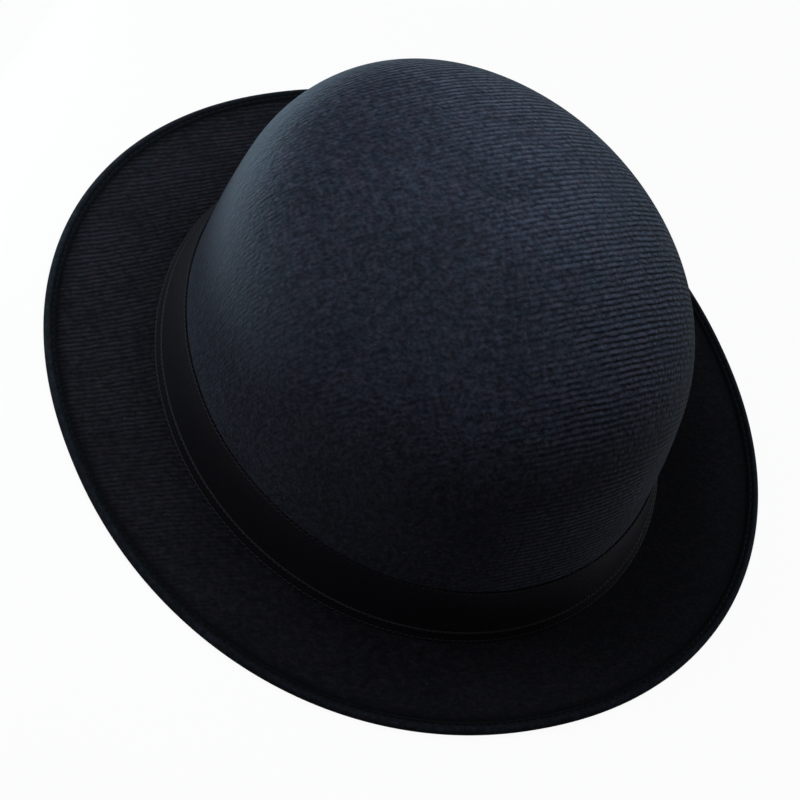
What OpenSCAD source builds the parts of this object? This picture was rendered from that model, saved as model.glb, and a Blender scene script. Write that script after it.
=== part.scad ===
// Bowler hat: a moulded oval crown standing on a flat brim with a wired, bound edge.
// A ribbon band runs round the crown's foot, and a lining and a sweatband sit inside.
// Millimetres, +Z up, front of the hat towards -Y, brim resting on Z = 0.

/* [Head] */
// Inside length at the sweatband, front to back
head_length = 192.5; // [180:0.5:205]
// Inside width at the sweatband, side to side
head_width = 170; // [158:0.5:182]

/* [Crown] */
// Height of the crown above the top of the brim
crown_h = 123; // [114:1:132]
// Height of the waist above the brim, where the wall stands upright
waist_h = 20; // [16:1:24]
// Radius of the flare from the waist down to the brim
foot_r = 35; // [32:1:60]
// Radius of the gently bowed side above the waist
side_r = 375; // [300:5:450]
// Radius of the shoulder between the side and the top
shoulder_r = 51; // [40:1:58]
// Radius of the shallow dome on top
top_r = 150; // [130:1:180]
// Thickness of the cloth cover on the crown
crown_cover_t = 0.8; // [0.5:0.1:1.2]
// Thickness of the moulded stiffener in the crown
crown_board_t = 1.5; // [1:0.1:2.5]

/* [Brim] */
// Width of the brim beyond the crown's waist, at the front and the back
brim_front = 43.3; // [36:0.1:52]
// Width of the brim beyond the crown's waist, at each side
brim_side = 46; // [36:0.1:52]
// Exponent of the brim's outline: 2 is an ellipse, more is fuller
brim_fullness = 2.11; // [2:0.01:2.3]
// Thickness of the cloth under the brim
brim_under_t = 0.6; // [0.4:0.1:1]
// Thickness of the brim's stiff board
brim_board_t = 1.8; // [1.2:0.1:3]
// Thickness of the cloth on top of the brim
brim_top_t = 0.6; // [0.4:0.1:1]

/* [Brim edge] */
// Thickness of the cloth binding folded round the edge
binding_t = 0.5; // [0.3:0.1:0.8]
// Depth of the binding, from the outer edge inwards
binding_w = 4; // [3.6:0.1:6]
// Radius of the spring wire in the edge
wire_r = 0.6; // [0.4:0.05:0.8]
// Length of the sleeve that joins the ends of the wire
ferrule_length = 10; // [6:1:14]
// Wall of that sleeve
ferrule_wall = 0.2; // [0.15:0.05:0.3]

/* [Hat band] */
// Height of the ribbon band above the brim
band_h = 23.7; // [18:0.1:30]
// Thickness of the ribbon
band_t = 0.9; // [0.6:0.1:1.4]
// Radius of the cords woven into the ribbon's edges
cord_r = 0.55; // [0.5:0.05:0.8]
// Width of the keeper wrapped over the band's join
keeper_w = 16; // [10:1:24]
// Thickness of the keeper
keeper_t = 0.6; // [0.4:0.1:1]

/* [Inside] */
// Thickness of the lining
lining_t = 0.4; // [0.3:0.1:0.8]
// Height of the lining's lower edge above the brim
lining_low = 22; // [21:1:28]
// Tilt of the dome where the lining's side is sewn to its tip, in degrees from upright
lining_seam = 48; // [30:1:60]
// Thickness of the sweatband
sweat_t = 1; // [0.8:0.1:1.5]
// Height of the sweatband's upper edge above the table
sweat_top = 36; // [30:1:44]
// Radius of the reed in the sweatband's lower edge
reed_r = 0.6; // [0.4:0.1:0.8]
// Thickness of the sweatband where it is folded round the reed
fold_t = 0.5; // [0.4:0.1:0.7]
// Width of the tape over the sweatband's join
tape_w = 18; // [12:1:26]
// Thickness of that tape
tape_t = 0.4; // [0.3:0.1:0.6]

/* [Fits] */
// Gap between glued or sewn layers
layer_gap = 0.1; // [0.05:0.01:0.12]
// Gap between the sweatband and the edge of the brim's hole
sew_gap = 0.3; // [0.2:0.05:0.5]
// Clearance of the wire in its sleeve
ferrule_clear = 0.2; // [0.15:0.05:0.25]

/* [Hidden] */
$fn = 120;
// How far a cut runs past the faces that it opens
overshoot = 1;

// Cloth black, ribbon black, satin, board, tape, plastic and steel
twill_black = "#14171c";
ribbon_black = "#1a161a";
satin_black = "#24242a";
board_grey = "#5a5a58";
sweat_black = "#201e1d";
reed_white = "#cfd2d0";
wire_grey = "#8d9094";

// Depths below the crown's outer surface, from the cover inwards
board_out = crown_cover_t + layer_gap;
board_in = board_out + crown_board_t;
lining_out = board_in + layer_gap;
lining_in = lining_out + lining_t;
sweat_out = lining_in + layer_gap;
sweat_in = sweat_out + sweat_t;

// The crown's plan is an ellipse: its long half at the waist, and its width over its length
crown_half = head_length / 2 + sweat_in;
crown_ratio = head_width / head_length;

// Heights through the brim
board_z = max(brim_under_t, binding_t + layer_gap);
top_cloth_z = board_z + brim_board_t;
deck = top_cloth_z + brim_top_t;

// The crown's profile is a foot arc, a side arc, a shoulder and a top arc, each tangent to the next
waist_z = deck + waist_h;
crown_top = deck + crown_h;
foot_c = [crown_half + foot_r, waist_z];
side_c = [crown_half - side_r, waist_z];
top_c = [0, crown_top - top_r];
shoulder_c = circles_meet(side_c, side_r - shoulder_r, top_c, top_r - shoulder_r);
shoulder_from = tilt(shoulder_c - side_c);
shoulder_to = tilt(shoulder_c - top_c);
wall_steps = 8;
arc_step = 5;

// The brim's outer edge and the bead on it
brim_half_l = crown_half + brim_front;
brim_half_w = crown_half * crown_ratio + brim_side;
brim_steps = 96;
ferrule_bore = wire_r + ferrule_clear;
ferrule_r = ferrule_bore + ferrule_wall;
bead_h = max(deck + layer_gap, 2 * (ferrule_r + layer_gap) + binding_t) + binding_t;
bead_r = bead_h / 2;
bead_steps = 6;
wire_sides = 6;
reed_sides = 12;
wire_inset = binding_t + layer_gap + ferrule_r;
board_inset = wire_inset + ferrule_r + layer_gap;

// The band and its keeper lie outside the crown, so their depths are negative
band_low = deck + layer_gap;
band_top = deck + band_h;
band_in = -layer_gap;
band_out = band_in - band_t;
keeper_in = band_in - 2 * cord_r - layer_gap;
keeper_out = keeper_in - keeper_t;
keeper_low = band_top + layer_gap;
keeper_top = keeper_low + keeper_t;

// The sweatband hangs from the lining, and its lower edge is rolled round the reed
reed_hole = reed_r + layer_gap;
roll_r = reed_hole + fold_t;
roll_z = roll_r + layer_gap;
roll_x = inner_r(sweat_out, roll_z) - roll_r;
hole_r = inner_r(sweat_out, deck) + sew_gap;
lining_from = asin((lining_low - waist_h) / side_r);
tape_low = roll_z + roll_r + sew_gap;
tape_top = sweat_top - sew_gap;

// Angle of a vector above the horizontal
function tilt(v) = atan2(v[1], v[0]);

// The right-hand point where two circles meet, given as centres a and b with radii p and q
function circles_meet(a, p, b, q) =
    let (
        gap = norm(b - a),
        along = (p * p - q * q + gap * gap) / (2 * gap),
        across = sqrt(p * p - along * along),
        u = (b - a) / gap
    )
    a + along * u + across * [-u[1], u[0]];

// Points along an arc in n steps, and with about one step for each arc_step degrees
function arc(c, r, from, to, n) =
    [for (i = [0:n]) let (a = from + (to - from) * i / n) c + r * [cos(a), sin(a)]];
function smooth_arc(c, r, from, to) = arc(c, r, from, to, max(1, ceil(abs(to - from) / arc_step)));

function reversed(list) = [for (i = [len(list) - 1:-1:0]) list[i]];

// Radius of the upright side at a height, at a depth below the crown's surface
function inner_r(depth, z) = side_c[0] + sqrt(pow(side_r - depth, 2) - pow(z - waist_z, 2));

// Radius of the crown's wall at a height, with the flare below the waist
function wall_r(depth, z) =
    z < waist_z
        ? foot_c[0] - sqrt(pow(foot_r + depth, 2) - pow(waist_z - z, 2))
        : inner_r(depth, z);

function wall_line(depth, low, high) =
    [for (i = [0:wall_steps]) let (z = low + (high - low) * i / wall_steps) [wall_r(depth, z), z]];

function inner_line(depth, low, high) =
    [for (i = [0:wall_steps]) let (z = low + (high - low) * i / wall_steps) [inner_r(depth, z), z]];

// The crown's side, shoulder and top at a depth, between two tilts of the surface
function dome_line(depth, from, to) = concat(
    from < shoulder_from ? smooth_arc(side_c, side_r - depth, from, min(to, shoulder_from)) : [],
    from < shoulder_to && to > shoulder_from
        ? smooth_arc(shoulder_c, shoulder_r - depth, max(from, shoulder_from), min(to, shoulder_to)) : [],
    to > shoulder_to ? smooth_arc(top_c, top_r - depth, max(from, shoulder_to), to) : []
);

// The whole crown line at a depth, from the brim to the top
function crown_line(depth) = concat(wall_line(depth, deck, waist_z), dome_line(depth, 0, 90));

// A point of the brim's outline at an angle, moved inwards along the outline's normal
function power(v, e) = sign(v) * pow(abs(v), e);
function brim_point(angle, inset) =
    let (
        p = [brim_half_w * power(cos(angle), 2 / brim_fullness),
             brim_half_l * power(sin(angle), 2 / brim_fullness)],
        n = [power(p[0] / brim_half_w, brim_fullness - 1) / brim_half_w,
             power(p[1] / brim_half_l, brim_fullness - 1) / brim_half_l]
    )
    p - inset * n / norm(n);
function brim_outline(inset) = [for (i = [0:brim_steps - 1]) brim_point(360 * i / brim_steps, inset)];

// A half circle of the bead in (inset, height), from its top round the outside to its bottom
function bead_line(r) = arc([bead_r, bead_r], r, 90, 270, bead_steps);

// Turns a profile through part of the hat's oval, between two angles from +X
module oval_turn(from, to) {
    scale([crown_ratio, 1, 1])
        rotate([0, 0, from])
            rotate_extrude(angle = to - from)
                children();
}

// Turns a profile all the way round, as two half turns
module oval_ring() {
    oval_turn(0, 180)
        children();
    oval_turn(180, 360)
        children();
}

// The profile between two lines, the second one run backwards
module between(outer, inner) {
    polygon(concat(outer, reversed(inner)));
}

// One layer of the brim: the outline less the oval head hole
module brim_layer(z, thickness, inset) {
    difference() {
        translate([0, 0, z])
            linear_extrude(thickness)
                polygon(brim_outline(inset));
        translate([0, 0, z - overshoot])
            scale([crown_ratio, 1, 1])
                cylinder(r = hole_r, h = thickness + 2 * overshoot);
    }
}

// Sweeps a closed profile of (inset, height) points round the brim's outline
module brim_sweep(profile) {
    n = len(profile);
    points = [
        for (i = [0:brim_steps - 1])
            for (p = profile)
                let (xy = brim_point(360 * i / brim_steps, p[0]))
                [xy[0], xy[1], p[1]]
    ];
    faces = [
        for (i = [0:brim_steps - 1])
            for (j = [0:n - 1])
                let (
                    i2 = (i + 1) % brim_steps,
                    j2 = (j + 1) % n,
                    a = i * n + j,
                    b = i * n + j2,
                    c = i2 * n + j2,
                    d = i2 * n + j
                )
                each [[a, c, b], [a, d, c]]
    ];
    polyhedron(points, faces);
}

module crown_cover() {
    color(twill_black)
        oval_ring()
            between(crown_line(0), crown_line(crown_cover_t));
}

module crown_stiffener() {
    color(board_grey)
        oval_ring()
            between(crown_line(board_out), crown_line(board_in));
}

module lining_side() {
    color(satin_black)
        oval_ring()
            between(dome_line(lining_out, lining_from, lining_seam),
                    dome_line(lining_in, lining_from, lining_seam));
}

module lining_tip() {
    color(satin_black)
        oval_ring()
            between(dome_line(lining_out, lining_seam, 90), dome_line(lining_in, lining_seam, 90));
}

module brim_top_cover() {
    color(twill_black)
        brim_layer(top_cloth_z, brim_top_t, board_inset);
}

module brim_stiffener() {
    color(board_grey)
        brim_layer(board_z, brim_board_t, board_inset);
}

module brim_under_cover() {
    color(twill_black)
        brim_layer(0, brim_under_t, binding_w + layer_gap);
}

module brim_edge_binding() {
    inner = bead_line(bead_r - binding_t);
    color(twill_black)
        brim_sweep(concat(
            [[binding_w, bead_h]],
            bead_line(bead_r),
            [[binding_w, 0], [binding_w, binding_t]],
            reversed(inner),
            [[binding_w, bead_h - binding_t]]
        ));
}

module brim_edge_wire() {
    color(wire_grey)
        brim_sweep([
            for (i = [0:wire_sides - 1])
                let (a = 360 * i / wire_sides)
                [wire_inset, bead_r] + wire_r * [cos(a), sin(a)]
        ]);
}

module wire_ferrule() {
    color(wire_grey)
        translate([-ferrule_length / 2, brim_half_l - wire_inset, bead_r])
            rotate([0, 90, 0])
                difference() {
                    cylinder(r = ferrule_r, h = ferrule_length);
                    translate([0, 0, -overshoot])
                        cylinder(r = ferrule_bore, h = ferrule_length + 2 * overshoot);
                }
}

module hat_band() {
    cord_depth = band_in - cord_r;
    color(ribbon_black)
        oval_ring() {
            between(wall_line(band_out, band_low, band_top), wall_line(band_in, band_low, band_top));
            for (z = [band_low + cord_r, band_low + 3 * cord_r, band_top - cord_r])
                translate([wall_r(cord_depth, z), z])
                    circle(r = cord_r);
        }
}

module hat_band_keeper() {
    half_angle = asin(keeper_w / 2 / crown_half);
    color(ribbon_black)
        oval_turn(-half_angle, half_angle)
            polygon(concat(
                wall_line(keeper_out, band_low, keeper_top),
                [[wall_r(band_in, keeper_top), keeper_top], [wall_r(band_in, keeper_low), keeper_low]],
                reversed(wall_line(keeper_in, band_low, keeper_low))
            ));
}

module sweatband() {
    color(sweat_black)
        oval_ring()
            difference() {
                union() {
                    between(inner_line(sweat_out, roll_z, sweat_top), inner_line(sweat_in, roll_z, sweat_top));
                    translate([roll_x, roll_z])
                        circle(r = roll_r);
                }
                translate([roll_x, roll_z])
                    circle(r = reed_hole);
            }
}

module sweatband_reed() {
    color(reed_white)
        oval_ring()
            translate([roll_x, roll_z])
                circle(r = reed_r, $fn = reed_sides);
}

module sweatband_join_tape() {
    depth = sweat_in + layer_gap;
    half_angle = asin(tape_w / head_width);
    color(sweat_black)
        oval_turn(90 - half_angle, 90 + half_angle)
            between(inner_line(depth, tape_low, tape_top), inner_line(depth + tape_t, tape_low, tape_top));
}

crown_cover();
crown_stiffener();
lining_side();
lining_tip();
brim_top_cover();
brim_stiffener();
brim_under_cover();
brim_edge_binding();
brim_edge_wire();
wire_ferrule();
hat_band();
hat_band_keeper();
sweatband();
sweatband_reed();
sweatband_join_tape();
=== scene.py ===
"""Looks of the bowler hat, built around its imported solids.

Shapes are in millimetres until piece() turns them into metres. Materials, lamps and stage are in metres.
"""

import math

import bmesh
import bpy
import numpy as np
from mathutils import Matrix


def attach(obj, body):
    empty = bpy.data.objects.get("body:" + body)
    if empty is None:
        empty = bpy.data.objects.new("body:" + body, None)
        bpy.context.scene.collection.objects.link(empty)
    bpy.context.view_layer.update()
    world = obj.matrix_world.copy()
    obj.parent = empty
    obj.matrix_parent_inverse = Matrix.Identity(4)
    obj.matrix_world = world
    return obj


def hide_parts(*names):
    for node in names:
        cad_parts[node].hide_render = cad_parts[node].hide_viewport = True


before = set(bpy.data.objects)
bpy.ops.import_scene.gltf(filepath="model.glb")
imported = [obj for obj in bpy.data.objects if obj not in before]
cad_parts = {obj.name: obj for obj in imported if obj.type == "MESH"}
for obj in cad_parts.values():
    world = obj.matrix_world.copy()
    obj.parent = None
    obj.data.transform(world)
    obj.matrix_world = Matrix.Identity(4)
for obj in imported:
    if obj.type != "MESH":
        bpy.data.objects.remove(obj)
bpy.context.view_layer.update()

MM = 0.001
TURN = 2 * math.pi
UP = (0.0, 0.0, 1.0)
# Angle of the hat's back round its plan, from +X
BACK = math.pi / 2

# The crown's oval and profile, as in the solids
HALF = 100.25
RATIO = 170 / 192.5
DECK = 3.0
WAIST_Z = 23.0
CROWN_TOP = 126.0
FOOT_R = 35.0
SIDE_R = 375.0
SHOULDER_R = 51.0
TOP_R = 150.0
# The moulded cloth is a little fuller than the oval at three places round its plan
PLAN_GROW = 0.002
PLAN_LOBE = -0.009

# Layers by their depth under the crown's surface
COVER_IN = 0.8
LINING_OUT = 2.5
LINING_IN = 2.9
SWEAT_OUT = 3.0
SWEAT_IN = 4.0
TAPE_OUT = 4.1
TAPE_IN = 4.5

# The twill: how far its waves stand proud, how its wales slant and bow, and its thickness on the brim
CLOTH_PROUD = 0.12
CROWN_SLANT = 0.042
CROWN_BOW = 0.00156
BRIM_SLANT = 0.05
BRIM_DRAWN = 8
BRIM_CLOTH_T = 0.6
FOOT_LIFT = 0.02

# The brim's outline, its head hole and the bead along its edge
BRIM_HALF_W = 134.53
BRIM_HALF_L = 143.55
BRIM_FULLNESS = 2.11
HOLE_R = 97.0
BEAD_R = 1.8
# The binding: its seam's distance from the edge, the height of its stitches, and the slant of its wales
EDGE_SEAM = 3.2
EDGE_STITCH_Z = 3.06
BIAS = 0.3
STITCH_STEP = 3.0

# The band, its cords (the second lies above the lower edge) and its keeper
BAND_LOW = 3.1
BAND_TOP = 26.7
WELT_Z = 22.6
CORD_R = 0.55
CORD_LAY = 2.2
SECOND_CORD_RISE = 3.6
KEEPER_HALF_W = 8
KEEPER_HALF = math.asin(KEEPER_HALF_W / HALF)
KEEPER_STAND = 1.3
KEEPER_BEND_R = 0.4

# The sweatband, the roll round its reed, and the tape over its join with the tape's two seams
SWEAT_TOP = 36.0
SWEAT_ROUND = 0.25
SWEAT_HEM_Z = 32.7
SWEAT_SEAM_Z = 4.2
ROLL_R = 1.2
ROLL_Z = 1.3
TAPE_HALF_W = 9
TAPE_HALF = math.asin(TAPE_HALF_W / 85)
TAPE_SEAM = 0.86

# The lining: how far above the waist it starts, the tilt of the dome at its seam, and the sag of its tip
LINING_RISE = 2
LINING_SEAM = math.radians(48)
PLEATS = 44
TIP_SAG = 0.7

# Camera, fitted to the hat's outline in the photograph: angles, distance and focal length in pixels
CAM_AZ = -0.73695
CAM_EL = 0.89274
CAM_ROLL = 0.46092
CAM_DISTANCE = math.exp(7.67275)
CAM_FOCAL_PX = math.exp(8.66981)
CAM_SLIDE_X = 2.08561
CAM_SLIDE_Y = 0.43401
IMAGE_PX = 800
SENSOR_MM = 36.0

# The stage: the floor's reach, the share of plain white that the camera sees on it, and the world's fill
FLOOR_HALF = 3.0
FLOOR_WHITE = 0.95
WORLD_FILL = 0.18

# Tints of the sheen and of the lamps
SKY_SHEEN = (0.75, 0.88, 1.0)
SILK_SHEEN = (1.0, 0.9, 1.0)
CORD_SHEEN = (1.0, 0.95, 1.0)
LINING_SHEEN = (0.9, 0.9, 1.0)
SKY = (0.737, 0.945, 1.0)


def hump(x, at, width):
    """A smooth hump of height 1."""
    return np.exp(-(((x - at) / width) ** 2))


def ramp(x, low, high):
    """Runs from 0 at low to 1 at high, and stays there."""
    return np.clip((x - low) / (high - low), 0, 1)


def soft_waves(phi, rise, size):
    """Slow unevenness of hand-shaped cloth, from -size to size, over angle and a height in mm."""
    return size * (
        0.45 * np.sin(3 * phi + 0.021 * rise + 0.7)
        + 0.3 * np.sin(5 * phi - 0.034 * rise + 2.1)
        + 0.25 * np.sin(8 * phi + 0.06 * rise + 4.0)
    )


def inner_r(depth, z):
    """Radius of the crown's side at a depth and height, carried on below the waist without the flare."""
    return HALF - SIDE_R + np.sqrt((SIDE_R - depth) ** 2 - (z - WAIST_Z) ** 2)


def wall_r(depth, z):
    """Radius of the crown's wall at a height, with the flare below the waist."""
    z = np.asarray(z, float)
    drop = np.maximum(WAIST_Z - z, 0)
    flare = HALF + FOOT_R - np.sqrt((FOOT_R + depth) ** 2 - drop**2)
    return np.where(z < WAIST_Z, flare, inner_r(depth, np.maximum(z, WAIST_Z)))


def circles_meet(a, p, b, q):
    """The point on the left of the way from a to b that lies p from a and q from b."""
    a, b = np.array(a), np.array(b)
    gap = np.linalg.norm(b - a)
    along = (p * p - q * q + gap * gap) / (2 * gap)
    u = (b - a) / gap
    return a + along * u + math.sqrt(p * p - along * along) * np.array([-u[1], u[0]])


# Centres of the side, top and shoulder arcs, and the tilts at which the shoulder meets the other two
SIDE_C = (HALF - SIDE_R, WAIST_Z)
TOP_C = (0.0, CROWN_TOP - TOP_R)
SHOULDER_C = circles_meet(SIDE_C, SIDE_R - SHOULDER_R, TOP_C, TOP_R - SHOULDER_R)
SHOULDER_FROM = math.atan2(SHOULDER_C[1] - SIDE_C[1], SHOULDER_C[0] - SIDE_C[0])
SHOULDER_TO = math.atan2(SHOULDER_C[1] - TOP_C[1], SHOULDER_C[0] - TOP_C[0])


def dome_line(depth, tilt_from, tilt_to, step):
    """Points (r, z) over the side, shoulder and top at a depth, about step mm apart."""
    arcs = (
        (SIDE_C, SIDE_R - depth, -1.0, SHOULDER_FROM),
        (SHOULDER_C, SHOULDER_R - depth, SHOULDER_FROM, SHOULDER_TO),
        (TOP_C, TOP_R - depth, SHOULDER_TO, math.pi / 2),
    )
    made = []
    for centre, radius, low, high in arcs:
        a, b = max(low, tilt_from), min(high, tilt_to)
        if b > a:
            t = np.linspace(a, b, max(2, math.ceil(radius * (b - a) / step)) + 1)
            line = np.stack([centre[0] + radius * np.cos(t), centre[1] + radius * np.sin(t)], 1)
            made.append(line if not made else line[1:])
    return np.vstack(made)


def crown_line(depth, low, step):
    """The whole crown line at a depth, from a height near the brim up to just before the apex."""
    z = np.linspace(low, WAIST_Z, math.ceil((WAIST_Z - low) / step) + 1)
    line = np.vstack([np.stack([wall_r(depth, z), z], 1), dome_line(depth, 0, math.pi / 2, step)[1:]])
    return line[:-1]


def oval(r, z, phi, fuller):
    """Points at radii r and heights z (rows) round the oval at angles phi (columns).

    Fuller adds the three lobes of the moulded cloth to the plain oval.
    """
    r = np.asarray(r, float)
    z = np.asarray(z, float)
    r = r[:, None] if r.ndim == 1 else r
    z = z[:, None] if z.ndim == 1 else z
    r = r * (1 + PLAN_GROW + PLAN_LOBE * np.sin(3 * phi) if fuller else np.ones_like(phi))
    return np.stack(np.broadcast_arrays(RATIO * r * np.cos(phi), r * np.sin(phi), z), -1)


def power(v, e):
    return np.sign(v) * np.abs(v) ** e


def outline(phi, inset):
    """Points (x, y) of the brim's edge at angles phi, moved inwards along its normal."""
    x = BRIM_HALF_W * power(np.cos(phi), 2 / BRIM_FULLNESS)
    y = BRIM_HALF_L * power(np.sin(phi), 2 / BRIM_FULLNESS)
    nx = power(x / BRIM_HALF_W, BRIM_FULLNESS - 1) / BRIM_HALF_W
    ny = power(y / BRIM_HALF_L, BRIM_FULLNESS - 1) / BRIM_HALF_L
    n = np.hypot(nx, ny)
    return np.stack([x - inset * nx / n, y - inset * ny / n], -1)


def around(n):
    return np.arange(n) * TURN / n


def unit(v):
    return v / np.linalg.norm(v, axis=-1, keepdims=True)


def lengths(points, closed):
    """Distance along a line of points, with the whole length last where it is closed."""
    nxt = np.roll(points, -1, 0) if closed else points[1:]
    steps = np.linalg.norm(nxt - points[: len(nxt)], axis=-1)
    return np.concatenate([[0], np.cumsum(steps)])


def grid_faces(rows, cols, wrap_rows, wrap_cols, start=0):
    """Quads over a grid of points, row by row from the point start."""
    i = np.arange(rows if wrap_rows else rows - 1)
    j = np.arange(cols if wrap_cols else cols - 1)
    i, j = [a.ravel() for a in np.meshgrid(i, j, indexing="ij")]
    i2, j2 = (i + 1) % rows, (j + 1) % cols
    return (np.stack([i * cols + j, i * cols + j2, i2 * cols + j2, i2 * cols + j], 1) + start).tolist()


def fan(ring, tip):
    return [[ring[k], ring[(k + 1) % len(ring)], tip] for k in range(len(ring))]


def capped_faces(rows, cols):
    """Rings of points, with the first and the last closed by the two points that follow them."""
    end = rows * cols
    first, last = list(range(cols)), list(range(end - cols, end))
    return grid_faces(rows, cols, False, True) + fan(first, end) + fan(last, end + 1)


def strip_faces(rows, cols):
    """A strip of rows of points and its back in the opposite order, closed all round."""
    faces = grid_faces(2 * rows, cols, True, False)
    for col in (0, cols - 1):
        for i in range(rows - 1):
            side = (i, i + 1, 2 * rows - 2 - i, 2 * rows - 1 - i)
            faces.append([row * cols + col for row in side])
    return faces


def cloth_map(u, v):
    return np.stack(np.broadcast_arrays(u, v), -1)


def piece(name, points, faces, uv, material, nodes=(), painted_seam_shade=0.0, lap=None):
    """A mesh from points and a cloth map in mm, riding on the hat and standing for the named solids.

    The mask painted_seam_shade runs from 0 to 1 where the cloth is painted darker: painted shade in the
    groove along a seam. Lap is the step of the cloth map round a closed ring of quads, so that the cloth
    runs on evenly up to where its two ends meet.
    """
    mesh = bpy.data.meshes.new(name)
    mesh.from_pydata((np.asarray(points).reshape(-1, 3) * MM).tolist(), [], faces)
    work = bmesh.new()
    work.from_mesh(mesh)
    bmesh.ops.recalc_face_normals(work, faces=work.faces)
    work.to_mesh(mesh)
    work.free()
    corner = np.empty(len(mesh.loops), np.int32)
    mesh.loops.foreach_get("vertex_index", corner)
    spread = (np.asarray(uv).reshape(-1, 2) * MM)[corner]
    if lap:
        last = np.shape(points)[1] - 1
        column = corner.reshape(-1, 4) % (last + 1)
        closing = (column == 0) & (column == last).any(1, keepdims=True)
        spread[closing.ravel()] += np.array(lap) * MM
    mesh.uv_layers.new(name="cloth").uv.foreach_set("vector", spread.astype(np.float32).ravel())
    flat = np.broadcast_to(painted_seam_shade, np.asarray(points).shape[:-1])
    painted_shade_layer = mesh.attributes.new("painted_seam_shade", "FLOAT", "POINT")
    painted_shade_layer.data.foreach_set("value", flat.astype(np.float32).ravel())
    mesh.polygons.foreach_set("use_smooth", np.ones(len(mesh.polygons), bool))
    mesh.materials.append(material)
    made = bpy.data.objects.new(name, mesh)
    bpy.context.scene.collection.objects.link(made)
    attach(made, "root")
    if nodes:
        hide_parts(*nodes)
    return made


class Graph:
    """A material's node tree with short calls for the nodes used here."""

    def __init__(self, name):
        self.material = bpy.data.materials.new(name)
        self.material.use_nodes = True
        self.tree = self.material.node_tree
        self.shader = self.tree.nodes["Principled BSDF"]

    def put(self, socket, value):
        if isinstance(value, bpy.types.NodeSocket):
            self.tree.links.new(value, socket)
        else:
            socket.default_value = value

    def node(self, kind, inputs=None, **settings):
        made = self.tree.nodes.new(kind)
        for key, value in settings.items():
            setattr(made, key, value)
        for key, value in (inputs or {}).items():
            self.put(made.inputs[key], value)
        return made

    def math(self, operation, *values):
        made = self.node("ShaderNodeMath", operation=operation)
        for socket, value in zip(made.inputs, values):
            self.put(socket, value)
        return made.outputs[0]

    def add(self, a, b):
        return self.math("ADD", a, b)

    def times(self, a, b):
        return self.math("MULTIPLY", a, b)

    def total(self, *terms):
        """Sum of values, each given with its weight."""
        parts = [self.times(value, weight) for value, weight in terms]
        made = parts[0]
        for part in parts[1:]:
            made = self.add(made, part)
        return made

    def steps(self, along, pitch):
        return self.math("DIVIDE", along, pitch)

    def wave(self, phase):
        """Runs from 0 to 1 and back once for each whole step of the phase."""
        return self.math("MULTIPLY_ADD", self.math("COSINE", self.times(phase, TURN)), 0.5, 0.5)

    def cloth(self):
        """The two cloth coordinates in metres, and both as a vector."""
        vector = self.node("ShaderNodeUVMap", uv_map="cloth").outputs[0]
        parts = self.node("ShaderNodeSeparateXYZ", {0: vector}).outputs
        return parts[0], parts[1], vector

    def vector(self, x, y, z=0.0):
        return self.node("ShaderNodeCombineXYZ", {0: x, 1: y, 2: z}).outputs[0]

    def noise(self, vector, size, detail=2.0, roughness=0.5):
        """Noise whose features are about size metres across."""
        return self.node(
            "ShaderNodeTexNoise",
            {"Vector": vector, "Scale": 1 / size, "Detail": detail, "Roughness": roughness},
        ).outputs[0]

    def sway(self, vector, size, reach):
        """Noise about zero in metres, which bends the lines of a weave."""
        return self.times(self.add(self.noise(vector, size), -0.5), reach)

    def span(self, value, low, high, to_low=0.0, to_high=1.0):
        inputs = {"Value": value, 1: low, 2: high, 3: to_low, 4: to_high}
        return self.node("ShaderNodeMapRange", inputs, interpolation_type="SMOOTHSTEP").outputs[0]

    def mix(self, share, dark, light):
        made = self.node("ShaderNodeMix", data_type="RGBA")
        self.put(made.inputs[0], share)
        for socket, colour in ((made.inputs[6], dark), (made.inputs[7], light)):
            self.put(socket, (*colour, 1.0) if isinstance(colour, tuple) else colour)
        return made.outputs[2]

    def multiply(self, a, b):
        inputs = {0: 1.0, 6: a, 7: b}
        return self.node("ShaderNodeMix", inputs, data_type="RGBA", blend_type="MULTIPLY").outputs[2]

    def finish(self, colour, roughness, height, depth, sheen=0.0, tint=(1, 1, 1), specular=0.3):
        """Wires the shader up, with a relief of depth metres, and gives the material back."""
        bump = self.node("ShaderNodeBump", {"Strength": 1.0, "Distance": depth, "Height": height})
        put = self.shader.inputs
        self.put(put["Base Color"], colour)
        self.put(put["Roughness"], roughness)
        self.put(put["Normal"], bump.outputs[0])
        put["Specular IOR Level"].default_value = specular
        put["Diffuse Roughness"].default_value = 1.0
        put["Sheen Weight"].default_value = sheen
        put["Sheen Roughness"].default_value = 0.4
        put["Sheen Tint"].default_value = (*tint, 1.0)
        return self.material


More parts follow.
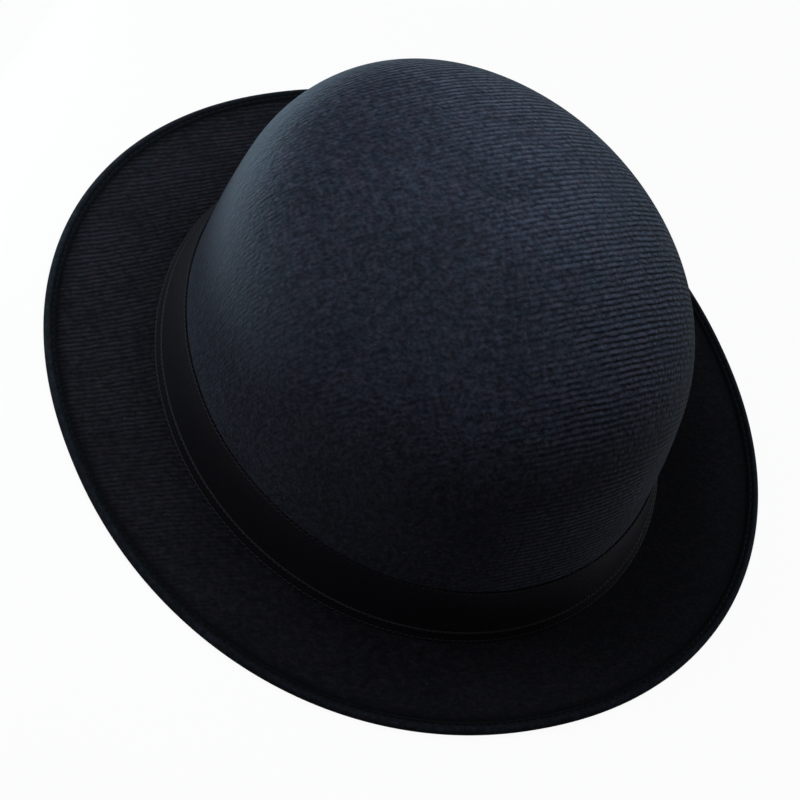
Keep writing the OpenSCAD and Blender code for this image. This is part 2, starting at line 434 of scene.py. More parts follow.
def twill(name, pitch, dark, light, sheen, way, wales_faint_at, wales_raked_at, relief):
    """Brushed twill: wales across the second cloth coordinate, broken into floats, under a speckled nap.

    The wales fade where the distance along the way is near wales_faint_at, and show most near
    wales_raked_at, the side where the lamps rake across them: there their grooves are painted darker, as
    painted shade, as well as standing in relief. Random rubbed patches fade them too.
    """
    g = Graph(name)
    u, v, uv = g.cloth()
    bent = g.add(v, g.add(g.sway(uv, 0.016, 0.0018), g.sway(uv, 0.0035, 0.0009)))
    phase = g.steps(bent, pitch)
    # Each wale takes its floats from its own row of the noise
    row = g.times(g.math("ROUND", phase), 0.37)
    floats = g.noise(g.vector(g.add(u, g.times(row, 0.01)), row), 0.003, 1.0, 0.6)
    along = g.add(g.times(u, way[0]), g.times(v, way[1]))
    rubbed = g.span(g.noise(uv, 0.022), 0.3, 0.6, 0.5, 1.0)
    # Painted shade: the wales' grooves are painted darker towards wales_raked_at, where the lamps rake
    # across them
    clear = g.times(g.span(along, wales_faint_at, wales_raked_at, 0.1, 1.0), rubbed)
    wale = g.math("POWER", g.wave(phase), 0.7)
    ridge = g.times(g.times(wale, clear), g.span(floats, 0.3, 0.7, 0.35, 1.0))
    nap = g.total((g.noise(uv, 0.0016, 2.0, 0.6), 0.6), (g.noise(uv, 0.0034, 1.0), 0.4))
    height = g.total((ridge, 1.2), (nap, 1.0))
    shade = g.total((ridge, 0.32), (nap, 0.9), (g.noise(uv, 0.03), 0.15))
    colour = g.mix(g.span(shade, 0.37, 0.86), dark, light)
    dye = g.mix(g.span(g.noise(uv, 0.0055), 0.35, 0.65), (0.91, 1.0, 1.02), (1.07, 0.98, 0.98))
    colour = g.multiply(colour, dye)
    # A few pale specks: lint, and painted glints where the ridges catch the light
    cells = g.node("ShaderNodeTexVoronoi", {"Vector": uv, "Scale": 55.0, "Randomness": 1.0})
    lint_and_glint = g.span(cells.outputs["Distance"], 0.009, 0.02, 1.0, 0.0)
    colour = g.mix(g.times(lint_and_glint, 0.45), colour, (0.16, 0.17, 0.19))
    # Painted shade: darker where painted_seam_shade is high, in the groove beside the binding's seam and on
    # the bead's inner slope
    painted_seam_shade = g.node("ShaderNodeAttribute", attribute_name="painted_seam_shade").outputs["Fac"]
    colour = g.mix(g.times(painted_seam_shade, 0.85), colour, tuple(0.4 * c for c in dark))
    roughness = g.span(nap, 0.2, 0.8, 0.72, 0.95)
    return g.finish(colour, roughness, height, relief, sheen, SKY_SHEEN, 0.04)


def ribbon(name, dark, light):
    """Petersham ribbon: ribs across it, fine lines along it, and a slight silkiness."""
    g = Graph(name)
    u, v, uv = g.cloth()
    sway = g.sway(uv, 0.012, 0.0004)
    ribs = g.wave(g.steps(g.add(u, sway), 0.0008))
    lines = g.wave(g.steps(g.add(v, sway), 0.0011))
    knots = g.times(ribs, lines)
    grain = g.noise(uv, 0.0004, 2.0, 0.6)
    height = g.total((ribs, 0.35), (lines, 0.3), (knots, 0.3), (grain, 0.25))
    shade = g.total((lines, 0.3), (knots, 0.3), (grain, 0.4), (g.noise(uv, 0.02), 0.3))
    colour = g.mix(g.span(shade, 0.15, 1.1), dark, light)
    roughness = g.span(knots, 0.0, 1.0, 0.75, 0.55)
    return g.finish(colour, roughness, height, 0.00014, 0.05, SILK_SHEEN, 0.06)


def thread(name, dark, light):
    """Twisted thread or cord: fine slanted plies along the first cloth coordinate."""
    g = Graph(name)
    u, v, uv = g.cloth()
    plies = g.wave(g.add(g.steps(u, 0.0005), g.steps(v, 0.0009)))
    grain = g.noise(uv, 0.0003)
    shade = g.total((plies, 0.5), (grain, 0.5))
    colour = g.mix(g.span(shade, 0.1, 0.9), dark, light)
    roughness = g.span(grain, 0.2, 0.8, 0.5, 0.7)
    return g.finish(colour, roughness, shade, 0.00008, 0.05, CORD_SHEEN, 0.15)


def satin(name, dark, light):
    """Lining satin: long fine floats with soft streaks."""
    g = Graph(name)
    u, v, uv = g.cloth()
    streak = g.noise(g.vector(g.times(u, 8.0), g.times(v, 0.6)), 0.004, 3.0, 0.6)
    floats = g.wave(g.add(g.steps(u, 0.0004), g.steps(v, 0.0012)))
    height = g.total((streak, 0.6), (floats, 0.3))
    shade = g.total((streak, 0.5), (floats, 0.2), (g.noise(uv, 0.035), 0.35))
    colour = g.mix(g.span(shade, 0.2, 0.85), dark, light)
    roughness = g.span(streak, 0.3, 0.7, 0.3, 0.46)
    return g.finish(colour, roughness, height, 0.00006, 0.15, LINING_SHEEN, 0.5)


def plain_weave(name, dark, light, pitch):
    """Close plain weave, as on a cotton sweatband or tape."""
    g = Graph(name)
    u, v, uv = g.cloth()
    sway = g.sway(uv, 0.009, 0.0004)
    warp = g.wave(g.steps(g.add(u, sway), pitch))
    weft = g.wave(g.steps(g.add(v, sway), pitch * 1.25))
    crossing = g.times(g.math("SUBTRACT", 1.0, warp), g.math("SUBTRACT", 1.1, weft))
    over = g.math("MAXIMUM", g.times(warp, g.add(weft, 0.25)), crossing)
    grain = g.noise(uv, 0.0004, 3.0, 0.65)
    height = g.total((over, 0.7), (grain, 0.4))
    shade = g.total((over, 0.45), (grain, 0.4), (g.noise(uv, 0.025, 3.0), 0.3))
    colour = g.mix(g.span(shade, 0.2, 1.0), dark, light)
    roughness = g.span(grain, 0.2, 0.8, 0.7, 0.92)
    return g.finish(colour, roughness, height, 0.00016, 0.2, LINING_SHEEN, 0.25)


def moulded(name, dark, light, roughness_low, roughness_high, metallic=0.0):
    """Board, reed or wire, on the solids themselves: fine fibres or drawing marks in object coordinates."""
    g = Graph(name)
    place = g.node("ShaderNodeTexCoord").outputs["Object"]
    fibre = g.noise(place, 0.0012, 4.0, 0.65)
    shade = g.total((fibre, 0.6), (g.noise(place, 0.02), 0.4))
    colour = g.mix(g.span(shade, 0.3, 0.7), dark, light)
    g.shader.inputs["Metallic"].default_value = metallic
    return g.finish(colour, g.span(fibre, 0.3, 0.7, roughness_low, roughness_high), fibre, 0.00008)


# The crown, brim and binding are one twill in lit and shaded copies: the brim's is painted about half as
# light as the crown's, as painted shade, and the binding's lighter and bluer than the brim's, as a painted
# highlight on its bead
CROWN_TWILL = twill(
    "twill_crown", pitch=0.00226, dark=(0.009, 0.009, 0.0136), light=(0.044, 0.044, 0.066),
    sheen=0.07, way=(1, 0), wales_faint_at=-0.04, wales_raked_at=0.05, relief=0.0009,
)
BRIM_TWILL = twill(
    "twill_brim", pitch=0.0019, dark=(0.0053, 0.0047, 0.0065), light=(0.0216, 0.0192, 0.0266),
    sheen=0.07, way=(-0.6, 0.8), wales_faint_at=-0.03, wales_raked_at=0.09, relief=0.0003,
)
EDGE_TWILL = twill(
    "twill_binding", pitch=0.0017, dark=(0.007, 0.0078, 0.011), light=(0.028, 0.031, 0.043),
    sheen=0.04, way=(1, 0), wales_faint_at=0.0, wales_raked_at=0.1, relief=0.0002,
)
RIBBON = ribbon("ribbon_black", (0.0021, 0.0015, 0.0025), (0.0085, 0.006, 0.01))
CORD = thread("ribbon_cord", (0.0022, 0.0017, 0.0024), (0.034, 0.028, 0.037))
THREAD = thread("sewing_thread", (0.0012, 0.0012, 0.0016), (0.005, 0.005, 0.0063))
SATIN = satin("lining_satin", (0.012, 0.012, 0.016), (0.04, 0.04, 0.05))
SWEAT = plain_weave("sweatband_weave", (0.012, 0.0115, 0.012), (0.05, 0.048, 0.048), 0.0011)
TAPE = plain_weave("tape_weave", (0.014, 0.0135, 0.014), (0.06, 0.057, 0.057), 0.0008)


def crown_cloth():
    phi = around(288)
    outer = crown_line(0.0, DECK + FOOT_LIFT, 1.6)
    inner = crown_line(COVER_IN, DECK + FOOT_LIFT, 5.0)[::-1]
    # The waves only ever stand proud, so the board under the cloth stays covered
    proud = CLOTH_PROUD + soft_waves(phi, outer[:, 1:], CLOTH_PROUD)
    out = oval(outer[:, :1] + proud, outer[:, 1], phi, True)
    ins = oval(inner[:, 0], inner[:, 1], phi, False)
    tips = np.array([[0, 0, CROWN_TOP - COVER_IN], [0, 0, CROWN_TOP + CLOTH_PROUD]])
    points = np.vstack([ins.reshape(-1, 3), out.reshape(-1, 3), tips])
    faces = capped_faces(len(inner) + len(outer), len(phi))
    # The cloth is unrolled from the apex along the profile, and its wales bow a little towards the back
    stretch = []
    for line in (inner[::-1], outer):
        whole = np.vstack([line, [[0, line[-1, 1]]]])
        run = lengths(whole[::-1], False)[::-1][:-1]
        stretch.append(run / line[:, 0])
    rings = np.concatenate([stretch[0][::-1], stretch[1]])
    factor = np.concatenate([np.repeat(rings, len(phi)), [1, 1]])
    x, y = points[:, 0] * factor, points[:, 1] * factor
    uv = np.stack([x, y - CROWN_SLANT * x - CROWN_BOW * x**2], 1)
    return piece("crown_cloth", points, faces, uv, CROWN_TWILL, ["crown_cover"])


def brim_cloth(name, node, top, inset, lift):
    """One face of the brim: a ring of cloth from the head hole to the binding, sunk beside its seam.

    Lift is 1 for the upper face and -1 for the lower one, which has no waves because the hat rests on it.
    """
    phi = around(480)
    share = np.concatenate([[0, 0.004], np.linspace(0.02, 0.9, 22), np.linspace(0.915, 1, 12)])[:, None]
    hole = np.stack([RATIO * HOLE_R * np.cos(phi), HOLE_R * np.sin(phi)], -1)
    rim = outline(phi, inset)
    flat = (1 - share[..., None]) * hole + share[..., None] * rim
    edge = (1 - share) * np.linalg.norm(rim - hole, axis=-1)
    sink = 0.22 * hump(edge, 0.9, 1.0) + 0.25 * hump(edge, 0.0, 0.35)
    wave = 0.5 * (1 + soft_waves(phi, 60 * share, 1.0)) * CLOTH_PROUD
    face = top - lift * sink + (wave if lift > 0 else 0)
    back = np.full_like(face, top - lift * BRIM_CLOTH_T)
    points = np.concatenate([
        np.concatenate([flat, face[..., None]], -1),
        np.concatenate([flat, back[..., None]], -1)[::-1],
    ])
    # The cloth was drawn towards the crown's foot, which bends its wales there
    x, y = points[..., 0], points[..., 1]
    drawn = BRIM_DRAWN * np.concatenate([1 - share, (1 - share)[::-1]]) ** 2 * np.sin(phi)
    uv = np.stack([x, y + BRIM_SLANT * x - drawn], -1)
    faces = grid_faces(2 * len(share), len(phi), True, True)
    # Painted shade: the brim cloth is painted darker close to the binding, where the groove lies
    beside = hump(edge, 0.0, 3.5)
    painted_seam_shade = np.concatenate([beside, beside[::-1]])
    return piece(name, points, faces, uv, BRIM_TWILL, [node], painted_seam_shade)


def mirrored(line):
    """A line of the binding's section on the other side of the bead's middle."""
    return [(inset, 2 * BEAD_R - z) for inset, z in line[::-1]]


def edge_binding():
    phi = around(1200)
    run = lengths(outline(phi, EDGE_SEAM), True)
    stitch = run[-1] / round(run[-1] / STITCH_STEP)
    pucker = 0.5 + 0.5 * np.cos(TURN * run[:-1] / stitch)
    # The section in distances from the edge and heights: the fold with its seam, the bead, the fold on
    # the other side, and then the inner face round the brim's board and the wire
    fold = [
        (4.3, 3.0), (4.22, 3.2), (4.0, 3.36), (3.7, 3.4), (3.45, 3.28), (3.2, 3.12), (2.95, 3.16),
        (2.7, 3.34), (2.3, 3.51),
    ]
    turn = np.linspace(math.pi / 2, 1.5 * math.pi, 19)
    bead = [(BEAD_R + BEAD_R * math.cos(a), BEAD_R + BEAD_R * math.sin(a)) for a in turn]
    inside = [(4.2, 0.75), (3.2, 0.62), (2.2, 0.6)]
    hollow = [(1.9 + 1.25 * math.cos(a), BEAD_R + 1.2 * math.sin(a)) for a in turn[::-3]]
    section = np.array(fold + bead + mirrored(fold) + inside + hollow + mirrored(inside))
    shown = (np.arange(len(section)) < 2 * len(fold) + len(bead))[:, None]
    depth, level = section[:, :1], section[:, 1:]
    # The seam pulls the cloth down between the stitches, on both faces
    near = hump(depth, EDGE_SEAM, 0.55) * shown
    z = level + np.sign(BEAD_R - level) * near * 0.07 * pucker
    inset = depth + shown * soft_waves(phi, level * 9, 0.06)
    points = np.stack([np.concatenate([outline(phi, i), h[:, None]], -1) for i, h in zip(inset, z)])
    # The binding is cut on the bias, so its wales cross the edge at a slant
    girth, along = np.meshgrid(lengths(section, False), run[:-1], indexing="ij")
    uv = np.stack([girth - BIAS * along, along + BIAS * girth], -1)
    faces = grid_faces(len(section), len(phi), True, True)
    # Painted shade on the binding inward of its bead, over its inner slope and the groove at its seam
    return piece(
        "brim_edge_binding_cloth", points, faces, uv, EDGE_TWILL, ["brim_edge_binding"],
        painted_seam_shade=ramp(inset, 1.4, 2.6), lap=(-BIAS * run[-1], run[-1]),
    )


def stitches(name, centres, ways, ups, length, radius):
    """Short threads that arch over a seam and dip in at both ends, as one piece.

    Each list has one array for each row of stitches: their middles, directions and upward normals.
    """
    centre, along, up = np.vstack(centres), np.vstack(ways), np.vstack(ups)
    spots = np.linspace(-1, 1, 7)
    girth = np.array([0.35, 0.8, 0.97, 1.0, 0.97, 0.8, 0.35])
    sides = around(7)
    across = np.cross(up, along)
    reach = spots * length / 2
    line = centre[:, None] + along[:, None] * reach[:, None]
    line = line + up[:, None] * (radius * (0.9 - 1.3 * spots**4))[:, None]
    offset = across[:, None, None] * np.cos(sides)[:, None] + up[:, None, None] * np.sin(sides)[:, None]
    points = line[:, :, None] + offset * (radius * girth)[:, None, None]
    rows, cols = len(spots), len(sides)
    faces = []
    for start in range(0, len(centre) * rows * cols, rows * cols):
        end = start + rows * cols
        faces += grid_faces(rows, cols, False, True, start)
        faces += [list(range(start, start + cols)), list(range(end - cols, end))]
    uv = np.broadcast_to(cloth_map(reach[:, None], sides * radius), (len(centre), rows, cols, 2))
    return piece(name, points, faces, uv, THREAD)


def edge_stitches():
    """The seam along the binding, on both faces of the brim, in even steps."""
    line = outline(around(2880), EDGE_SEAM)
    run = lengths(line, True)
    closed = np.vstack([line, line[:1]])
    count = round(run[-1] / STITCH_STEP)
    at = (np.arange(count) + 0.5) * run[-1] / count
    xy, ahead = [
        np.stack([np.interp(s, run, closed[:, k]) for k in (0, 1)], -1)
        for s in (at, (at + 0.5) % run[-1])
    ]
    level = np.zeros((count, 1))
    way = np.concatenate([unit(ahead - xy), level], -1)
    heights = (EDGE_STITCH_Z, 2 * BEAD_R - EDGE_STITCH_Z)
    centres = [np.concatenate([xy, level + z], -1) for z in heights]
    ups = [np.tile([0.0, 0.0, side], (count, 1)) for side in (1.0, -1.0)]
    return stitches("brim_edge_stitches", centres, [way, way], ups, 2.3, 0.17)


def hat_band():
    phi = around(720)
    z = np.concatenate([
        [BAND_LOW + 0.05], np.linspace(BAND_LOW + 0.3, 21.6, 30), np.linspace(21.9, 23.4, 9),
        np.linspace(23.8, BAND_TOP - 0.3, 8), [BAND_TOP - 0.05],
    ])
    rounded = np.ones(len(z))
    rounded[[0, -1]] = 0.55
    welt = 0.16 * hump(z, WELT_Z, 0.3)
    # The ribbon is sewn tight at its foot and stands a little looser towards its upper edge
    loose = 0.4 + 0.6 * (z[:, None] - BAND_LOW) / (BAND_TOP - BAND_LOW)
    ease = soft_waves(phi, z[:, None] * 2, 0.1) + 0.1
    stand = (0.95 * rounded + welt)[:, None] + ease * loose
    outer = oval(wall_r(0.0, z)[:, None] + stand, z, phi, True)
    inner = oval(wall_r(-0.14, z), z, phi, True)[::-1]
    points = np.concatenate([outer, inner])
    run = lengths(outer[20], True)
    rise = np.concatenate([lengths(outer[:, 0], False), lengths(inner[:, 0], False)[::-1]])
    uv = cloth_map(run[:-1], rise[:, None])
    faces = grid_faces(len(points), len(phi), True, True)
    return piece("hat_band_ribbon", points, faces, uv, RIBBON, ["hat_band"], lap=(run[-1], 0))


def band_cords():
    """The two twisted cords along the band's lower edge and the one along its upper edge."""
    phi, sides = around(1800), around(10)
    up = np.tile(UP, (len(phi), 1))
    ring_up = up[:, None] * np.sin(sides)[:, None]
    cords = ((BAND_LOW + CORD_R, 0.6), (BAND_LOW + SECOND_CORD_RISE, 0.85), (BAND_TOP - CORD_R, 0.6))
    points, uv, faces = [], [], []
    for k, (z, stand) in enumerate(cords):
        centre = oval(wall_r(0.0, [z]) + stand, [z], phi, True)[0]
        run = lengths(centre, True)
        out = np.cross(unit(np.roll(centre, -1, 0) - np.roll(centre, 1, 0)), up)
        lays = round(run[-1] / CORD_LAY)
        twist = sides - (math.pi * lays * run[:-1] / run[-1])[:, None]
        girth = CORD_R * (0.76 + 0.24 * np.cos(2 * twist))
        ring = out[:, None] * np.cos(sides)[:, None] + ring_up
        points.append((centre[:, None] + ring * girth[..., None]).reshape(-1, 3))
        uv.append(cloth_map(run[:-1, None], twist * CORD_R).reshape(-1, 2))
        faces += grid_faces(len(phi), len(sides), True, True, k * len(points[0]))
    return piece("hat_band_cords", np.vstack(points), faces, np.vstack(uv), CORD)


def band_keeper():
    """The wrap over the band's join: a strip that stands over the cords and tucks in over the top edge."""
    across = np.concatenate([[-1, -0.985, -0.95], np.linspace(-0.88, 0.88, 19), [0.95, 0.985, 1]])
    phi = across * KEEPER_HALF
    z = np.linspace(BAND_LOW + 0.05, BAND_TOP - 0.2, 30)
    bend = np.linspace(0.0, math.pi / 2, 7)[1:]
    bent = KEEPER_STAND - KEEPER_BEND_R + KEEPER_BEND_R * np.cos(bend)
    stand = np.concatenate([np.full(len(z), KEEPER_STAND), bent, [0.5, 0.2]])
    high = np.concatenate([z, z[-1] + KEEPER_BEND_R * np.sin(bend), [z[-1] + KEEPER_BEND_R] * 2])
    lean = np.concatenate([np.zeros(len(z)), bend, [math.pi / 2] * 2])[:, None]
    side = np.abs(across)
    thick = 0.55 * (0.25 + 0.75 * (1 - side**8) + 0.35 * hump(side, 0.9, 0.05))
    base = wall_r(0.0, high) + stand
    outer = oval(base[:, None] + thick * np.cos(lean), high[:, None] + thick * np.sin(lean), phi, True)
    inner = oval(base, high, phi, True)
    points = np.concatenate([outer, inner[::-1]])
    faces = strip_faces(len(high), len(phi))
    rise = lengths(outer[:, len(phi) // 2], False)
    uv = cloth_map(np.concatenate([rise, rise[::-1]])[:, None], across * KEEPER_HALF_W)
    return piece("hat_band_keeper_wrap", points, faces, uv, RIBBON, ["hat_band_keeper"])


def sweatband():
    # The strip's two ends meet at the back, under the tape
    phi = around(480) + BACK
    z = np.linspace(ROLL_Z, SWEAT_TOP - SWEAT_ROUND, 26)
    up = np.stack([inner_r(SWEAT_OUT, z), z], 1)
    rounded = (SWEAT_OUT + SWEAT_ROUND, SWEAT_IN - SWEAT_ROUND)
    head = np.array([[inner_r(depth, SWEAT_TOP), SWEAT_TOP] for depth in rounded])
    fine = np.concatenate([
        np.linspace(SWEAT_TOP - SWEAT_ROUND, 33.4, 6), np.linspace(33.1, 32.3, 5),
        np.linspace(31.5, 5.2, 22), np.linspace(4.9, 3.6, 6), [3.0, 2.55],
    ])
    # A hem line under the upper edge and a dent along the stitching above the roll
    hem = 0.14 * hump(fine, SWEAT_HEM_Z, 0.25) - 0.16 * hump(fine, SWEAT_SEAM_Z, 0.45)
    down = np.stack([inner_r(SWEAT_IN, fine) - hem, fine], 1)
    turn = np.radians(np.linspace(84, 340, 18))
    roll_x = inner_r(SWEAT_OUT, ROLL_Z) - ROLL_R
    roll = np.stack([roll_x + ROLL_R * np.cos(turn), ROLL_Z + ROLL_R * np.sin(turn)], 1)
    section = np.vstack([up, head, down, roll])
    r = np.repeat(section[:, :1], len(phi), 1)
    inside = slice(len(up) + len(head), len(up) + len(head) + len(down))
    level = section[inside, 1:]
    r[inside] -= 0.15 * (1 + soft_waves(phi, level * 2, 1.0)) * ramp(level, 5, 17) * 0.5
    points = oval(r, section[:, 1], phi, False)
    run = lengths(points[len(up) + 10], True)
    uv = cloth_map(run[:-1], lengths(section, False)[:, None])
    faces = grid_faces(len(section), len(phi), True, True)
    return piece("sweatband_strip", points, faces, uv, SWEAT, ["sweatband"], lap=(run[-1], 0))


def join_tape():
    """Tape over the sweatband's join, at the back, with folded edges."""
    across = np.concatenate([[-1, -0.98, -0.94], np.linspace(-0.85, 0.85, 15), [0.94, 0.98, 1]])
    phi = BACK + across * TAPE_HALF
    z = np.concatenate([[2.85, 3.0], np.linspace(3.6, 35.0, 26), [35.5, 35.65]])
    ends = np.ones((len(z), 1))
    ends[[0, -1]] = 0.3
    side = np.abs(across)
    flat = (TAPE_IN - TAPE_OUT) * (0.35 + 0.65 * (1 - side**10))
    thick = (flat + 0.12 * hump(side, TAPE_SEAM, 0.05)) * ends
    base = inner_r(TAPE_OUT, z)
    face = oval(base[:, None] - thick, z, phi, False)
    back = oval(base, z, phi, False)
    points = np.concatenate([face, back[::-1]])
    uv = cloth_map(across * TAPE_HALF_W, np.concatenate([z, z[::-1]])[:, None])
    faces = strip_faces(len(z), len(phi))
    return piece("sweatband_tape", points, faces, uv, TAPE, ["sweatband_join_tape"])


def sweat_stitches():
    """The seam that holds the sweatband above its roll, and a row down each side of the tape."""
    seam_r = inner_r(SWEAT_IN, SWEAT_SEAM_Z) + 0.14

    def on_seam(angle):
        return oval([seam_r], [SWEAT_SEAM_Z], angle, False)[0]

    phi = around(2880)
    run = lengths(on_seam(phi), True)
    count = round(run[-1] / STITCH_STEP)
    at = (np.arange(count) + 0.5) / count * run[-1]
    angle = np.interp(at, run, np.concatenate([phi, [TURN]]))
    # The tape covers the seam at the back
    angle = angle[np.abs(angle - BACK) > 0.12]
    along = unit(on_seam(angle + 0.005) - on_seam(angle))
    centres, ways, ups = [on_seam(angle)], [along], [np.cross(UP, along)]
    z = np.arange(4.6, 35, 2.6)
    for side in (-1, 1):
        a = BACK + side * TAPE_SEAM * TAPE_HALF
        centres.append(oval(inner_r(TAPE_IN, z) - 0.02, z, np.array([a]), False)[:, 0])
        ways.append(np.tile(UP, (len(z), 1)))
        ups.append(np.tile([-math.cos(a), -math.sin(a), 0.0], (len(z), 1)))
    return stitches("sweatband_stitches", centres, ways, ups, 2.2, 0.16)


def lining_side():
    """The lining's side: eased into the tip with small pleats, with one upright seam at the back."""
    turned = around(528)
    phi = turned + BACK
    low = math.asin(LINING_RISE / SIDE_R)
    back = dome_line(LINING_OUT, low, LINING_SEAM, 3.0)
    face = dome_line(LINING_IN, low, LINING_SEAM, 1.6)[::-1]
    run = lengths(face, False)[:, None]
    fold = np.abs(np.sin(PLEATS * phi / 2 + 0.5 * np.sin(7 * phi))) ** 0.7
    ease = np.exp(-run / 14.0) * (0.9 * (1 - fold))
    hem = 0.25 * hump(run[-1] - run, 2.0, 0.5)
    seam = 0.35 * hump(np.minimum(turned, TURN - turned), 0.0, 0.008)
    slack = 0.2 * (1 + soft_waves(phi, face[:, 1:], 1.0)) * ramp(run, 0, 10)
    inward = ease + hem + seam + slack
    r = np.concatenate([back[:, :1] + 0 * phi, face[:, :1] - inward])
    z = np.concatenate([back[:, 1], face[:, 1]])
    points = oval(r, z, phi, False)
    arc = lengths(points[len(back) + 20], True)
    girth = np.concatenate([lengths(back, False), run[::-1, 0]])
    uv = cloth_map(arc[:-1], girth[:, None])
    faces = grid_faces(len(z), len(phi), True, True)
    return piece("lining_side_cloth", points, faces, uv, SATIN, ["lining_side"], lap=(arc[-1], 0))


def lining_tip():
    """The lining's tip: an oval that sags a little, with a turned edge at its seam."""
    phi = around(240)
    back = dome_line(LINING_OUT, LINING_SEAM, math.pi / 2, 3.0)[:-1][::-1]
    face = dome_line(LINING_IN, LINING_SEAM, math.pi / 2, 1.6)[:-1]
    run = lengths(face, False)[:, None]
    turned = 0.75 * hump(run, 0.7, 0.6)
    sag = TIP_SAG * (1 - np.cos(run / run[-1] * math.pi)) / 2
    wave = 0.15 * (1 + soft_waves(phi, face[:, 1:], 1.0)) * ramp(run, 0, 12) * ramp(run[-1] - run, 0, 25)
    r = np.concatenate([back[:, :1], face[:, :1] - math.sqrt(0.5) * turned]) + 0 * phi
    z = np.concatenate([back[:, 1:] + 0 * phi, face[:, 1:] - (turned + sag + wave)])
    tips = np.array([[0, 0, CROWN_TOP - LINING_OUT], [0, 0, CROWN_TOP - LINING_IN - TIP_SAG]])
    points = np.vstack([oval(r, z, phi, False).reshape(-1, 3), tips])
    faces = capped_faces(len(r), len(phi))
    return piece("lining_tip_cloth", points, faces, points[:, :2], SATIN, ["lining_tip"])


crown_cloth()
brim_cloth("brim_top_cloth", "brim_top_cover", DECK, 3.5, 1.0)
brim_cloth("brim_under_cloth", "brim_under_cover", 0.0, 4.15, -1.0)
edge_binding()
edge_stitches()
hat_band()
band_cords()
band_keeper()
sweatband()
join_tape()
sweat_stitches()
lining_side()
lining_tip()

# The hidden solids keep their shape and get the finish of board, plastic and steel
BOARD = moulded("pressed_board", (0.06, 0.058, 0.054), (0.15, 0.145, 0.135), 0.75, 0.95)
REED = moulded("reed_plastic", (0.5, 0.5, 0.48), (0.66, 0.66, 0.64), 0.35, 0.5)
STEEL = moulded("spring_steel", (0.36, 0.37, 0.39), (0.55, 0.56, 0.58), 0.25, 0.4, 1.0)
FINISH = {
    "crown_stiffener": BOARD,
    "brim_stiffener": BOARD,
    "sweatband_reed": REED,
    "brim_edge_wire": STEEL,
    "wire_ferrule": STEEL,
}
for node, material in FINISH.items():
    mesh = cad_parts[node].data
    mesh.materials.clear()
    mesh.materials.append(material)


def put_in_scene(name, data, right, up, back, place):
    """A camera or lamp that looks against back, at a place in metres."""
    made = bpy.data.objects.new(name, data)
    bpy.context.scene.collection.objects.link(made)
    turn = np.eye(4)
    turn[:3] = np.stack([right, up, back, place], 1)
    made.matrix_world = Matrix(turn.tolist())
    return made


def camera():
    back = np.array([
        math.sin(CAM_AZ) * math.cos(CAM_EL), -math.cos(CAM_AZ) * math.cos(CAM_EL), math.sin(CAM_EL)])
    level = np.array([math.cos(CAM_AZ), math.sin(CAM_AZ), 0.0])
    upright = np.cross(back, level)
    c, s = math.cos(CAM_ROLL), math.sin(CAM_ROLL)
    right = c * level + s * upright
    up = -s * level + c * upright
    place = CAM_DISTANCE * back - CAM_SLIDE_X * right - CAM_SLIDE_Y * up + np.array([0, 0, DECK])
    data = bpy.data.cameras.new("camera")
    data.sensor_width = SENSOR_MM
    data.lens = CAM_FOCAL_PX / IMAGE_PX * SENSOR_MM
    data.clip_start, data.clip_end = 0.05, 50.0
    bpy.context.scene.camera = put_in_scene("camera", data, right, up, back, place * MM)


def lamp(name, azimuth, out, height, width, tall, power_w, colour, aim=0.07, spread=180):
    """A soft lamp that looks at the hat's upright axis at the height aim, or straight up without one.

    The azimuth is in degrees from +X towards +Y, and the rest in metres, watts and degrees.
    """
    a = math.radians(azimuth)
    place = np.array([math.cos(a) * out, math.sin(a) * out, height])
    back = np.array([0, 0, -1.0]) if aim is None else unit(place - np.array([0, 0, aim]))
    level = np.array([-math.sin(a), math.cos(a), 0.0])
    data = bpy.data.lights.new(name, "AREA")
    data.shape, data.size, data.size_y = "RECTANGLE", width, tall
    data.energy, data.color, data.spread = power_w, colour, math.radians(spread)
    made = put_in_scene(name, data, level, np.cross(back, level), back, place)
    made.visible_camera = False


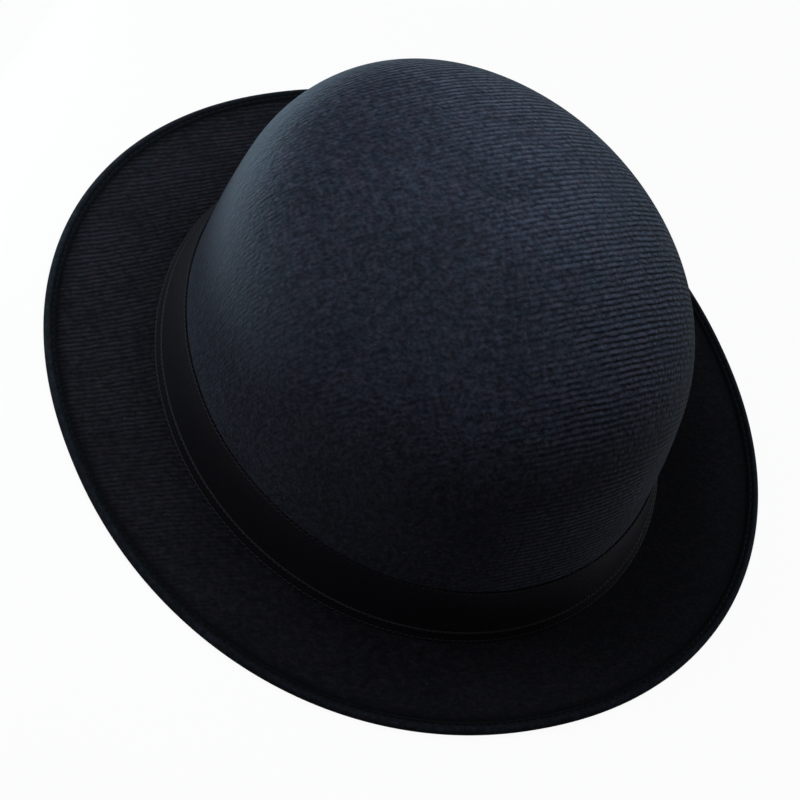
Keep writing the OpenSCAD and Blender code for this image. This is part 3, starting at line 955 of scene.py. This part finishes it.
def stage():
    """A floor and a world that are white to the camera and dim to the hat."""
    mesh = bpy.data.meshes.new("floor")
    corners = [(x * FLOOR_HALF, y * FLOOR_HALF, 0) for x, y in ((-1, -1), (1, -1), (1, 1), (-1, 1))]
    mesh.from_pydata(corners, [], [[0, 1, 2, 3]])
    g = Graph("floor_white")
    place = g.node("ShaderNodeTexCoord").outputs["Object"]
    path = g.node("ShaderNodeLightPath").outputs
    mirrored_rays = g.math("MAXIMUM", path["Is Glossy Ray"], path["Is Transmission Ray"])
    seen = g.math("MAXIMUM", path["Is Camera Ray"], mirrored_rays)
    tone = g.mix(g.noise(place, 0.4), (0.78, 0.78, 0.78), (0.82, 0.82, 0.82))
    g.put(g.shader.inputs["Base Color"], g.mix(seen, (0.12, 0.12, 0.12), tone))
    g.shader.inputs["Roughness"].default_value = 0.9
    glow = g.node("ShaderNodeEmission", {"Color": (1, 1, 1, 1), "Strength": 1.0}).outputs[0]
    sockets = {0: g.times(seen, FLOOR_WHITE), 1: g.shader.outputs[0], 2: glow}
    both = g.node("ShaderNodeMixShader", sockets).outputs[0]
    g.tree.links.new(both, g.tree.nodes["Material Output"].inputs["Surface"])
    mesh.materials.append(g.material)
    made = bpy.data.objects.new("floor", mesh)
    bpy.context.scene.collection.objects.link(made)
    world = bpy.data.worlds.new("world")
    bpy.context.scene.world = world
    world.use_nodes = True
    tree = world.node_tree
    path = tree.nodes.new("ShaderNodeLightPath")
    fill = tree.nodes["Background"]
    fill.inputs["Color"].default_value = (1, 1, 1, 1)
    fill.inputs["Strength"].default_value = WORLD_FILL
    white = tree.nodes.new("ShaderNodeBackground")
    white.inputs["Color"].default_value = (1, 1, 1, 1)
    mix = tree.nodes.new("ShaderNodeMixShader")
    tree.links.new(path.outputs["Is Camera Ray"], mix.inputs[0])
    tree.links.new(fill.outputs[0], mix.inputs[1])
    tree.links.new(white.outputs[0], mix.inputs[2])
    tree.links.new(mix.outputs[0], tree.nodes["World Output"].inputs["Surface"])


camera()
lamp("bounce", 143, 0.265, 0.006, 0.36, 0.23, 6.6, (0.64, 0.87, 1.0), None, 130)
lamp("top", 125, 0.08, 0.46, 0.2, 0.2, 0.2, SKY)
lamp("apex", 140, 0.035, 0.28, 0.1, 0.1, 0.27, SKY)
lamp("right", 14, 1.0, 0.18, 0.3, 0.3, 3.2, (0.76, 0.92, 1.0))
lamp("side", 165, 0.35, 0.3, 0.2, 0.2, 0.5, (0.85, 0.97, 1.0))
lamp("edge", 133, 0.2, 0.02, 0.2, 0.02, 0.08, (0.62, 0.95, 1.0))
stage()
bpy.context.scene.view_settings.view_transform = "Standard"
